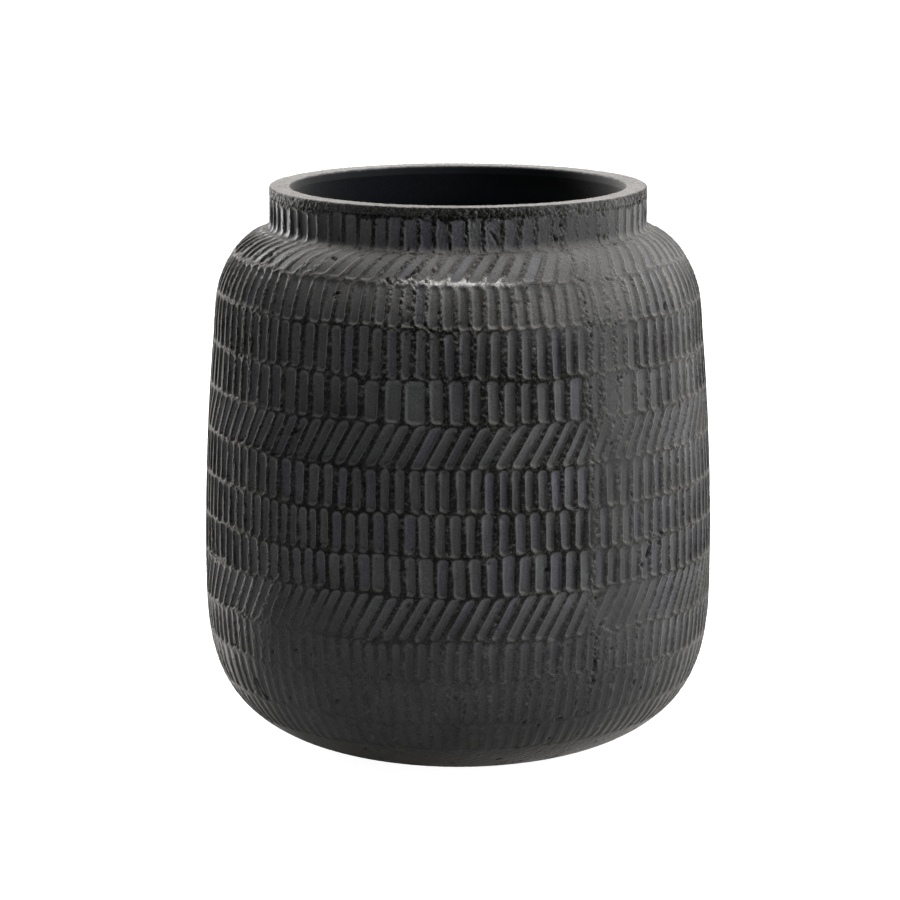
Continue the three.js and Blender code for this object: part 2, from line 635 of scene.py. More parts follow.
# Where the stamping was pressed lightly or rubbed back.
SOFT_SPOTS = (
    Spot(-3, 30, 108, 44, 0.78),
    Spot(-37, 90, 36, 13, 0.5),
    Spot(38, 92, 24, 13, 0.5),
    Spot(-36, 272, 32, 7, 0.5),
    Spot(-47, 74, 22, 30, 0.78),
    Spot(42, 130, 30, 110, 0.45),
    Spot(37, 213, 14, 52, 0.8),
    Spot(64, 205, 28, 80, 0.45),
    Spot(22, 247, 24, 13, 0.5),
    Spot(36, 250, 26, 16, 0.6),
    Spot(38, 287, 40, 16, 0.9),
    Spot(-44, 287, 12, 10, 0.6),
    Spot(-40, 272, 26, 9, 0.45),
    Spot(130, 205, 42, 24, 0.55),
    Spot(-138, 95, 50, 30, 0.65),
    Spot(172, 60, 60, 26, 0.75),
    Spot(100, 30, 70, 22, 0.6),
    Spot(-95, 245, 26, 16, 0.5),
)

# Where more dust lies than elsewhere, or less. On level faces the dust also paints them lighter,
# as light from above would, so these spots also set that painted top light.
DUSTY_AND_TOP_LIT_SPOTS = (
    Spot(0, 300, 62, 6, -0.65),
    Spot(-8, 257, 42, 12, 0.6),
    Spot(18, 272, 40, 10, -0.4),
    Spot(14, 243, 46, 13, 1.3),
    Spot(-44, 243, 40, 14, -0.6),
    Spot(48, 250, 30, 20, 0.4),
    Spot(-40, 268, 36, 14, -0.35),
    Spot(-62, 262, 26, 14, 0.2),
    Spot(150, 258, 60, 14, 1.2),
)

# Where smoke darkened the clay in the firing.
SMOKED_SPOTS = (
    Spot(-34, 196, 44, 32, 0.42),
    Spot(-62, 283, 26, 14, 0.85),
    Spot(24, 34, 36, 36, 0.32),
    Spot(120, 110, 50, 30, 0.3),
    Spot(-160, 200, 40, 30, 0.3),
)

# Where the ridges are torn more than elsewhere, or less.
ROUGH_SPOTS = (
    Spot(-82, 150, 44, 130, -0.55),
    Spot(84, 150, 40, 130, -0.5),
    Spot(-10, 245, 11, 26, 1.7),
    Spot(-13, 262, 12, 6, 1.4),
    Spot(2, 291, 34, 9, 3.0),
    Spot(4, 212, 24, 24, 0.8),
    Spot(-38, 187, 6, 5, 1.0),
    Spot(48, 122, 10, 10, 1.2),
    Spot(-72, 106, 8, 7, 1.2),
    Spot(-30, 257, 8, 5, 0.9),
    Spot(118, 160, 14, 30, 0.9),
    Spot(-150, 220, 12, 26, 1.0),
    Spot(160, 285, 30, 9, 0.9),
)

# Where the shoulder's crest is scuffed pale.
SCUFFED_SPOTS = (
    Spot(-4.5, 265.2, 20, 2.4, 1.0),
    Spot(9, 265, 11, 2.2, 0.5),
)

GOUGES = (
    Gouge(-6, 241.5, 11, 0.55, 1.5, -38),
    Gouge(-58, 271, 4.5, 0.8, 1.6, -20),
    Gouge(-34.5, 274, 5.0, 0.7, 1.6, -15),
    Gouge(-17, 265.5, 6.0, 0.6, 1.6, -50),
    Gouge(-12, 268.5, 7.0, 0.6, 1.4, 40),
    Gouge(-2.5, 281, 4.0, 0.7, 1.2, 80),
    Gouge(46.5, 120, 7.5, 0.8, 1.9, 62),
    Gouge(44.3, 114.5, 3.6, 1.3, 2.2, 30),
    Gouge(50.8, 128, 4.0, 0.6, 1.5, -45),
    Gouge(19.3, 118.5, 3.5, 0.8, 1.6, 75),
    Gouge(12.4, 191, 6.5, 1.0, 1.7, 55),
    Gouge(-38.5, 186, 8.0, 0.5, 1.3, 38),
    Gouge(-52.5, 43, 14, 0.75, 2.4, -62),
    Gouge(24, 37, 5.0, 0.8, 1.4, 30),
    Gouge(19, 34, 3.0, 0.8, 1.2, 60),
    Gouge(31.3, 56, 4.5, 0.9, 1.8, 55),
    Gouge(31.5, 66, 6.0, 0.8, 1.6, 95),
    Gouge(29.5, 283, 5.0, 0.8, 1.6, -50),
    Gouge(10.5, 285, 9.0, 0.7, 1.3, -60),
    Gouge(-30, 258, 6.5, 0.45, 1.2, 12),
    Gouge(-9, 293.6, 9.0, 0.6, 1.0, -15),
    Gouge(8, 293.4, 7.0, 0.6, 1.0, 8),
    Gouge(48, 293, 3.0, 0.7, 1.2, -45),
    Gouge(95, 215, 9.0, 0.6, 1.5, 40),
    Gouge(150, 130, 12, 0.6, 1.7, -55),
    Gouge(-120, 180, 8.0, 0.7, 1.6, 65),
    Gouge(-165, 70, 10, 0.6, 1.4, 20),
    Gouge(-100, 140, 6.0, 0.8, 1.8, -70),
    Gouge(178, 240, 7.0, 0.7, 1.6, 30),
)


@dataclass(frozen=True)
class Rubbing:
    """How hands and a wet cloth took the stamping back.

    Args:
        uneven: how much the stamping's depth varies all over, as a share.
        patch: the height and width of one patch of that, in mm.
        seam: the share of the stamping that the upright seam lost.
        wiped: up to which height the wall is wiped smooth, and over how much that fades, in mm.
        shows: how strongly lost stamping shows as rubbed clay.
        shine: how burnished rubbed clay is, where a pressed floor has 1.
    """

    uneven: float = 0.1
    patch: tuple[float, float] = (30.0, 34.0)
    seam: float = 0.8
    wiped: tuple[float, float] = (38.0, 62.0)
    shows: float = 1.5
    shine: float = 0.6


@dataclass(frozen=True)
class Tearing:
    """How rough the torn clay of the ridges is.

    Args:
        usual: the roughness away from all spots.
        uneven: how much it varies, over patches 18 mm across.
        seam: how much rougher the upright seam is.
        spared: the share of it that pressed floors are spared.
        least: the least roughness of the wall.
        low: from which height the foot gets rougher, and over how much, in mm.
        low_share: the foot's share of the roughness.
        lip_fall: how far above the neck's corner the lip starts, in mm along the clay.
        lip: the lip's own roughness, outside and elsewhere.
        lip_gain: how much more the lip's outside shows rough spots.
    """

    usual: float = 0.55
    uneven: float = 0.45
    seam: float = 1.1
    spared: float = 0.85
    least: float = 0.05
    low: tuple[float, float] = (15.0, 45.0)
    low_share: float = 0.35
    lip_fall: float = 15.5
    lip: tuple[float, float] = (0.4, 0.25)
    lip_gain: float = 1.5

    def over(self, skin: Skin, seam: np.ndarray) -> np.ndarray:
        """The roughness of the whole skin.

        Args:
            skin: the pressed skin.
            seam: the mask of the upright seam.

        Returns:
            A value for each row and column.
        """
        rough = skin.spotted(ROUGH_SPOTS, self.usual + self.uneven * skin.noise(31, 18.0, 18.0))
        rough = np.maximum(rough, self.least) + self.seam * seam
        rough *= 1 - self.spared * skin.marks["floor"]
        start, growth = self.low
        low = eased((skin.height[:, None] - start) / growth)
        rough *= self.low_share + (1 - self.low_share) * low
        on_lip = skin.fall[:, None] < -self.lip_fall
        outward = skin.out[:, :1] > 0.7
        outside, elsewhere = self.lip
        lip = np.where(outward, rough * self.lip_gain + outside, elsewhere)
        return np.where(on_lip, lip, rough)


@dataclass
class ClaySurface:
    """Works the skin: courses, the upright seam, handling, crumbs, pits and cracks.

    Args:
        outline: the pot's lines.
        seam_angle: where the slab's ends meet, in degrees to the right of the front.
        seam_width: half the width of the rubbed strip along the seam, in mm.
        wander: how far a course line strays from level, in mm.
        wander_wide: the width of one such stray, in mm.
        climb: how far the upper course lines climb on the left, in mm.
        climb_at: the middle of that climb, in degrees to the right of the front.
        climb_wide: its half width, in radians.
        neck_room: how far below the neck's corner the first course starts, in mm.
        neck_wander: how far the top line of the neck's course strays, in mm.
        neck_reach: how far past the neck's corner its lower line lies, in mm.
        crumb: how high the torn clay of the ridges stands, in mm.
        dent: how deep the unevenness of the whole wall is, in mm.
        pits: how many small pits the skin has.
        rubbing: how the stamping was taken back.
        tearing: how rough the torn clay is.
    """

    outline: Outline
    seam_angle: float = 31.0
    seam_width: float = 2.7
    wander: float = 0.8
    wander_wide: float = 45.0
    climb: float = 2.8
    climb_at: float = -85.0
    climb_wide: float = 0.9
    neck_room: float = 2.2
    neck_wander: float = 1.3
    neck_reach: float = 0.8
    crumb: float = 1.1
    dent: float = 0.25
    pits: int = 3600
    rubbing: Rubbing = Rubbing()
    tearing: Tearing = Tearing()
    skin: Skin = field(init=False)
    levels: list[float] = field(init=False)

    def __post_init__(self) -> None:
        """Lays the skin over the outline with a row at every joint and course line."""
        self.levels = course_levels(self.outline)
        low = [z / MM for z in (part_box("floor_slab")[0].z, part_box("foot_curve")[0].z)]
        high = [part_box("rim_lip")[0].z / MM]
        self.skin = Skin(self.outline, [*low, *reversed(self.levels), *high])

    def worked(self) -> Skin:
        """Works the skin.

        Returns:
            The skin with all its relief.
        """
        self.press_courses()
        self.press_neck()
        self.soften()
        self.roughen()
        self.scrape()
        self.pit()
        self.wear()
        self.settle()
        self.skin.depth = np.maximum(self.skin.depth, 0.0)
        return self.skin

    def seam(self) -> np.ndarray:
        """The rubbed upright seam, which strays a little from upright.

        Returns:
            A mask for each row and column.
        """
        whole_turn = 2000.0
        stray = self.skin.noise(11, 26.0, whole_turn) * 1.3
        stray = stray + self.skin.noise(12, 7.0, whole_turn) * 0.6
        off = turned_past(self.skin.angle, math.radians(self.seam_angle))
        across = off * self.skin.radius[:, None] - stray
        return np.exp(-((across / self.seam_width) ** 2))

    def course_line(self, number: int, fall: float) -> np.ndarray:
        """One line between two courses, with its wander and climb.

        Args:
            number: which line it is, from 0 at the neck.
            fall: how far it lies below the neck's corner, in mm along the clay.

        Returns:
            Its fall at each column, in mm.
        """
        stray = level_noise(200 + number, self.skin.angle, self.wander_wide)
        if number == 0:
            return fall + stray * 0.0
        past = turned_past(self.skin.angle, math.radians(self.climb_at)) / self.climb_wide
        growing, fading = min(number / 2, 1.0), min(max(7 - number, 0) / 3, 1.0)
        return fall + stray * self.wander - np.exp(-(past**2)) * self.climb * growing * fading

    def press_courses(self) -> None:
        """Presses every course of the wall."""
        rising = slice(0, int(np.argmax(self.skin.height)))
        falls = np.interp(self.levels, self.skin.height[rising], self.skin.fall[rising])
        lines = [self.course_line(number, fall) for number, fall in enumerate(falls)]
        lines[0] = lines[0] + self.neck_room
        seam = math.radians(self.seam_angle)
        for number, course in enumerate(COURSES):
            pair = (lines[number], lines[number + 1])
            WALL_STAMP.press(self.skin, course, pair, seam, number)

    def press_neck(self) -> None:
        """Presses the neck's own course, up to a hand-drawn top line."""
        top = level_noise(220, self.skin.angle, 9.0) * self.neck_wander
        pair = (top - NECK_COURSE.height, top * 0.0 + self.neck_reach)
        NECK_STAMP.press(self.skin, NECK_COURSE, pair, math.radians(self.seam_angle), NECK_SEED)

    def soften(self) -> None:
        """Rubs the stamping back where it was pressed lightly, handled or joined."""
        rubbing = self.rubbing
        kept = 1 + rubbing.uneven * self.skin.noise(21, *rubbing.patch)
        for spot in SOFT_SPOTS:
            kept = kept * (1 - self.skin.blob(spot))
        kept = kept * (1 - rubbing.seam * self.seam())
        self.skin.depth *= kept
        start, growth = rubbing.wiped
        low = 1 - eased((self.skin.height[:, None] - start) / growth)
        rubbed = np.clip(rubbing.shows * (1 - kept) + low, 0.0, 1.0)
        self.skin.marks["rubbed"] = rubbed
        pressed = self.skin.marks["floor"] * (1 - rubbed)
        self.skin.marks["burnished"] = pressed + rubbing.shine * rubbed

    def roughen(self) -> None:
        """Adds the torn crumb of the ridges and the slow unevenness of the wall."""
        skin = self.skin
        rough = self.tearing.over(skin, self.seam())
        crumb = skin.noise(32, 1.5, 1.7) + 0.7 * skin.noise(33, 0.9, 1.0)
        grit = np.random.default_rng([SEED, 34]).uniform(-1, 1, skin.depth.shape)
        crumb = np.clip(0.3 + 0.42 * crumb + 0.16 * grit, 0.0, 1.6)
        skin.depth += self.crumb * rough * crumb
        lumps = 0.5 + 0.5 * skin.noise(35, 42.0, 48.0)
        lumps = lumps + 0.25 * (0.5 + 0.5 * skin.noise(36, 11.0, 14.0))
        foot_edge = np.clip((skin.height[:, None] - 0.2) / 6.0, 0.0, 1.0)
        skin.depth += self.dent * lumps * foot_edge
        skin.marks["crumb"] = np.clip(rough * 0.75, 0.0, 1.0)

    def scrape(self) -> None:
        """Cuts the larger scratches, cracks and torn pits."""
        end_fade = 1.2
        torn = 1 + 0.5 * self.skin.noise(41, 1.6, 1.6)
        frayed = 0.5 * self.skin.noise(42, 2.5, 2.5)
        for gouge in GOUGES:
            heading = math.radians(gouge.heading)
            right = turned_past(self.skin.angle, math.radians(gouge.angle))
            right = right * self.skin.radius[:, None]
            row = int(np.argmin(np.abs(self.skin.height - gouge.height)))
            up = (self.skin.along - self.skin.along[row])[:, None]
            lengthwise = right * math.cos(heading) + up * math.sin(heading)
            across = up * math.cos(heading) - right * math.sin(heading)
            across = across + frayed
            shape = np.exp(-((across / gouge.width) ** 2))
            shape *= eased((gouge.length / 2 - np.abs(lengthwise)) / end_fade)
            self.skin.depth += gouge.depth * shape * torn
            # The pit mark paints the gouge dark in the finishes: painted shade in the hollow.
            self.skin.marks["pit"] = np.maximum(self.skin.marks["pit"], shape)

    def pit(self) -> None:
        """Scatters small pits, most of them on torn clay."""
        hand = np.random.default_rng([SEED, 51])
        crumb, pit_shade = self.skin.marks["crumb"], self.skin.marks["pit"]
        rows, columns = crumb.shape
        step = self.skin.along[1] - self.skin.along[0]
        reach = 4
        near = np.arange(-reach, reach + 1)
        for _ in range(self.pits):
            row = int(hand.integers(reach, rows - reach))
            column = int(hand.integers(0, columns))
            chance, size, deep = hand.uniform(0.0, 1.0), hand.uniform(0.45, 1.0), hand.uniform()
            long, heading = hand.uniform(1.0, 2.2), hand.uniform(0.0, math.pi)
            if chance > 0.05 + crumb[row, column] ** 1.5 or self.skin.out[row, 0] < 0.3:
                continue
            right = (near * TURN / columns * self.skin.radius[row])[None]
            up = (near * step)[:, None]
            lengthwise = (right * math.cos(heading) + up * math.sin(heading)) / long
            across = up * math.cos(heading) - right * math.sin(heading)
            shape = np.exp(-((lengthwise**2 + across**2) / size**2) ** 1.5)
            cells = np.ix_(row + near, (column + near) % columns)
            self.skin.depth[cells] += (0.35 + 0.75 * deep) * shape
            # The pit mark paints the pit dark in the finishes: painted shade in the hollow.
            pit_shade[cells] = np.maximum(pit_shade[cells], shape * (0.4 + 0.6 * deep))

    def wear(self) -> None:
        """Marks the scuffed crest and the lighter wear of other crests, and paints the rim's
        inner edge pale as a painted highlight.
        """
        skin = self.skin
        crest = 1 - skin.marks["floor"]
        patchy = 0.75 + 0.6 * skin.noise(61, 1.6, 2.2)
        scuffed = skin.spotted(SCUFFED_SPOTS, 0.0) * 1.5 * patchy * crest**3
        lightly = np.clip(skin.noise(62, 9.0, 12.0) * skin.noise(63, 1.4, 1.8), 0, 1)
        out = skin.out[:, :1]
        # The lip's inner rounding, painted pale as a highlight where light catches it below the
        # rim.
        rim_highlight_edge = (out < -0.08) & (out > -0.85) & (skin.fall[:, None] < 0)
        rim = np.where(rim_highlight_edge, 0.22 + 0.12 * skin.noise(64, 2.0, 5.0), 0.0)
        worn_and_rim_highlight = np.clip(scuffed, 0, 1) + 0.12 * lightly * crest**2 + rim
        skin.marks["worn_and_rim_highlight"] = np.clip(worn_and_rim_highlight, 0.0, 1.0)

    def settle(self) -> None:
        """Marks where dust lies on the pot, which on level faces also paints them lighter as
        light from
        above, and where it is darkened: smoke stains, and soot with painted shade inside the lip.
        """
        skin = self.skin
        skin.marks["dusty_and_top_lit"] = np.maximum(skin.spotted(DUSTY_AND_TOP_LIT_SPOTS, 1.0), 0.0)
        # Inside the lip: soot, and painted shade where little light reaches.
        bore = (skin.out[:, :1] < -0.6) & (skin.fall[:, None] < 0)
        skin.marks["soot_and_shade"] = np.where(bore, 1.0, skin.spotted(SMOKED_SPOTS, 0.0))


@dataclass
class Inside:
    """The plain inside of the wall, rows by height and coarse columns, smoothed by hand.

    Args:
        outline: the pot's lines.
        breaks: heights where a row must lie, rising.
        step: the tallest row, in mm.
        ripple: how deep the fingers left their marks, in mm.
    """

    outline: Outline
    breaks: list[float]
    step: float = 2.5
    ripple: float = 0.35
    height: np.ndarray = field(init=False)
    break_rows: dict[float, int] = field(init=False)
    angle: np.ndarray = field(init=False)

    def __post_init__(self) -> None:
        """Lays out the rows."""
        rows = [np.array([self.breaks[0]])]
        self.break_rows = {self.breaks[0]: 0}
        count = 0
        for low, high in zip(self.breaks, self.breaks[1:]):
            steps = max(1, math.ceil((high - low) / self.step))
            rows.append(np.linspace(low, high, steps + 1)[1:])
            count += steps
            self.break_rows[high] = count
        self.height = np.concatenate(rows)
        self.angle = np.arange(0, COLUMNS, INNER_SHARE) * TURN / COLUMNS

    def points(self) -> np.ndarray:
        """Where the inside lies.

        Returns:
            The grid's points in mm, rows by coarse columns by three.
        """
        waves = 0.7 * Noise(71).over(self.height, self.angle, 9.0, 160.0)
        waves = waves + 0.3 * Noise(72).over(self.height, self.angle, 4.0, 30.0)
        held = eased((self.breaks[-1] - self.height) / 6.0)[:, None]
        held = held * eased((self.height - self.breaks[0]) / 4.0)[:, None]
        radius = self.outline.inside_radius(self.height)[:, None] + self.ripple * waves * held
        across = radius * np.sin(self.angle)
        deep = -radius * np.cos(self.angle)
        return np.stack([across, deep, np.broadcast_to(self.height[:, None], radius.shape)], -1)


def grid_normals(points: np.ndarray) -> np.ndarray:
    """Unit normals of a grid that closes round.

    Args:
        points: rows by columns by three.

    Returns:
        Normals of the same shape, pointing out where the rows rise.
    """
    across = np.roll(points, -1, axis=1) - np.roll(points, 1, axis=1)
    up = np.gradient(points, axis=0)
    normals = np.cross(across, up)
    return normals / np.maximum(np.linalg.norm(normals, axis=-1, keepdims=True), 1e-12)


@dataclass
class ClayMesh:
    """Gathers rows of clay into one closed mesh with its marks, normals and unrolled layout.

    Args:
        name: the piece's name.
    """

    name: str
    points: list[np.ndarray] = field(init=False, default_factory=list)
    normals: list[np.ndarray] = field(init=False, default_factory=list)
    marks: list[np.ndarray] = field(init=False, default_factory=list)
    faces: list[tuple[np.ndarray, ...]] = field(init=False, default_factory=list)
    count: int = field(init=False, default=0)
    laid: float = field(init=False, default=0.0)

    def rows(self, points: np.ndarray, normals: np.ndarray, marks: np.ndarray) -> np.ndarray:
        """Adds a grid's vertices.

        Args:
            points: rows by columns by three, in mm.
            normals: the same shape.
            marks: rows by columns by the number of marks.

        Returns:
            The vertices' numbers, rows by columns.
        """
        shape = points.shape[:2]
        numbers = self.count + np.arange(shape[0] * shape[1]).reshape(shape)
        self.points.append(points.reshape(-1, 3))
        self.normals.append(normals.reshape(-1, 3))
        self.marks.append(marks.reshape(-1, len(MARKS)))
        self.count += shape[0] * shape[1]
        return numbers

    def plain_rows(self, points: np.ndarray, normals: np.ndarray) -> np.ndarray:
        """Adds a plain grid's vertices, with a little crumb and a full soot mark: soot, and
        painted shade on the inside and the underside, where little light reaches.

        Args:
            points: rows by columns by three, in mm.
            normals: the same shape.

        Returns:
            The vertices' numbers, rows by columns.
        """
        light_crumb = 0.15
        marks = np.zeros((*points.shape[:2], len(MARKS)))
        marks[..., MARKS.index("crumb")] = light_crumb
        # Plain faces are the inside, the inside floor and the underside: darkened as soot and
        # painted shade.
        marks[..., MARKS.index("soot_and_shade")] = 1.0
        return self.rows(points, normals, marks)

    def quads(self, numbers: np.ndarray, rise: float) -> None:
        """Joins a grid's rows with faces.

        Args:
            numbers: its vertices' numbers, with the rows running up the outside or on round it.
            rise: the height that the grid takes in the unrolled layout, in mm.
        """
        rows, columns = numbers.shape
        beside = np.roll(numbers, -1, axis=1)
        corners = np.stack([numbers[:-1], beside[:-1], beside[1:], numbers[1:]], -1)
        start = np.broadcast_to(np.arange(columns) / columns, (rows - 1, columns))
        end = start + 1 / columns
        turned = np.stack([start, end, end, start], -1)
        level = self.laid + rise * np.arange(rows) / (rows - 1)
        low = np.broadcast_to(level[:-1, None], (rows - 1, columns))
        high = np.broadcast_to(level[1:, None], (rows - 1, columns))
        self.faces.append(
            tuple(part.reshape(-1, 4) for part in (corners, turned,
                                                   np.stack([low, low, high, high], -1)))
        )
        self.laid += rise

    def stitch(self, fine: np.ndarray, coarse: np.ndarray, rise: float, fine_first: bool) -> None:
        """Joins a fine row to a coarse one with fans.

        Args:
            fine: the fine row's vertex numbers.
            coarse: the coarse row's vertex numbers.
            rise: the height that the strip takes in the unrolled layout, in mm.
            fine_first: whether the rows run from the fine row to the coarse one.
        """
        share = len(fine) // len(coarse)
        each = np.arange(len(coarse))
        start = each / len(coarse)
        step = 1 / len(fine)
        fine_level, coarse_level = self.laid, self.laid + rise
        if not fine_first:
            fine_level, coarse_level = coarse_level, fine_level
        triangles = []
        for part in range(share):
            tip = coarse if part < share // 2 else np.roll(coarse, -1)
            tip_turn = start if part < share // 2 else start + share * step
            triangles.append((
                (fine[each * share + part], start + part * step, fine_level),
                (fine[(each * share + part + 1) % len(fine)], start + (part + 1) * step,
                 fine_level),
                (tip, tip_turn, coarse_level),
            ))
        middle = (each * share + share // 2) % len(fine)
        triangles.append((
            (fine[middle], start + share // 2 * step, fine_level),
            (np.roll(coarse, -1), start + share * step, coarse_level),
            (coarse, start, coarse_level),
        ))
        for corners in triangles:
            ordered = corners if fine_first else corners[::-1]
            numbers = np.stack([corner[0] for corner in ordered], -1)
            turned = np.stack([corner[1] for corner in ordered], -1)
            level = np.stack([np.full(len(each), corner[2]) for corner in ordered], -1)
            self.faces.append((numbers, turned, level))
        self.laid += rise

    def pole(self, row: np.ndarray, height: float, upward: bool, rise: float) -> None:
        """Closes a row to a point on the axis.

        Args:
            row: the row's vertex numbers.
            height: the point's height, in mm.
            upward: whether the closed face looks up.
            rise: the height that the fan takes in the unrolled layout, in mm.
        """
        normal = np.array([[[0.0, 0.0, 1.0 if upward else -1.0]]])
        point = self.plain_rows(np.array([[[0.0, 0.0, height]]]), normal)[0, 0]
        columns = len(row)
        start = np.arange(columns) / columns
        corners = [(row, start), (np.roll(row, -1), start + 1 / columns),
                   (np.full(columns, point), start + 0.5 / columns)]
        levels = [self.laid, self.laid, self.laid + rise]
        if not upward:
            corners.reverse()
            levels = [self.laid, self.laid + rise, self.laid + rise]
        numbers = np.stack([corner[0] for corner in corners], -1)
        turned = np.stack([corner[1] for corner in corners], -1)
        level = np.broadcast_to(np.array(levels), (columns, 3))
        self.faces.append((numbers, turned, level))
        self.laid += rise

    def unrolled(self, girth: float) -> list[np.ndarray]:
        """The layout of every face corner, cut into strips laid above each other.

        Args:
            girth: the piece's length round, in mm.

        Returns:
            For each group of faces, its corners' places in the unit square.
        """
        strips = max(1, round(math.sqrt(girth / self.laid)))
        while COLUMNS // INNER_SHARE % strips:
            strips += 1
        margin = 0.004
        places = []
        for _, turned, level in self.faces:
            strip = np.floor(turned.mean(axis=1, keepdims=True) * strips)
            across = turned * strips - strip
            up = level / self.laid
            places.append(np.stack([
                margin + across * (1 - 2 * margin),
                (strip + margin * strips + up * (1 - 2 * margin * strips)) / strips,
            ], -1))
        return places

    def made(self, girth: float) -> bpy.types.Object:
        """The finished Blender object.

        Args:
            girth: the piece's length round, in mm.

        Returns:
            A closed mesh object in metres, linked to the scene.
        """
        mesh = bpy.data.meshes.new(self.name)
        mesh.vertices.add(self.count)
        mesh.vertices.foreach_set("co", (np.concatenate(self.points) * MM).ravel())
        sizes = np.concatenate([np.full(len(n), n.shape[1]) for n, _, _ in self.faces])
        corners = np.concatenate([n.ravel() for n, _, _ in self.faces])
        starts = np.concatenate([[0], np.cumsum(sizes)[:-1]])
        mesh.loops.add(len(corners))
        mesh.loops.foreach_set("vertex_index", corners.astype(np.int32))
        mesh.polygons.add(len(sizes))
        mesh.polygons.foreach_set("loop_start", starts.astype(np.int32))
        mesh.update(calc_edges=True)
        mesh.polygons.foreach_set("use_smooth", np.ones(len(sizes), bool))
        layout = mesh.uv_layers.new(name="OFBake")
        places = np.concatenate([place.reshape(-1, 2) for place in self.unrolled(girth)])
        layout.data.foreach_set("uv", places.ravel().astype(np.float32))
        marks = np.concatenate(self.marks).astype(np.float32)
        for name, values in zip(MARKS, marks.T):
            mesh.attributes.new(name, "FLOAT", "POINT").data.foreach_set(
                "value", np.ascontiguousarray(values)
            )
        mesh.normals_split_custom_set_from_vertices(np.concatenate(self.normals).tolist())
        piece = bpy.data.objects.new(self.name, mesh)
        bpy.context.scene.collection.objects.link(piece)
        return piece


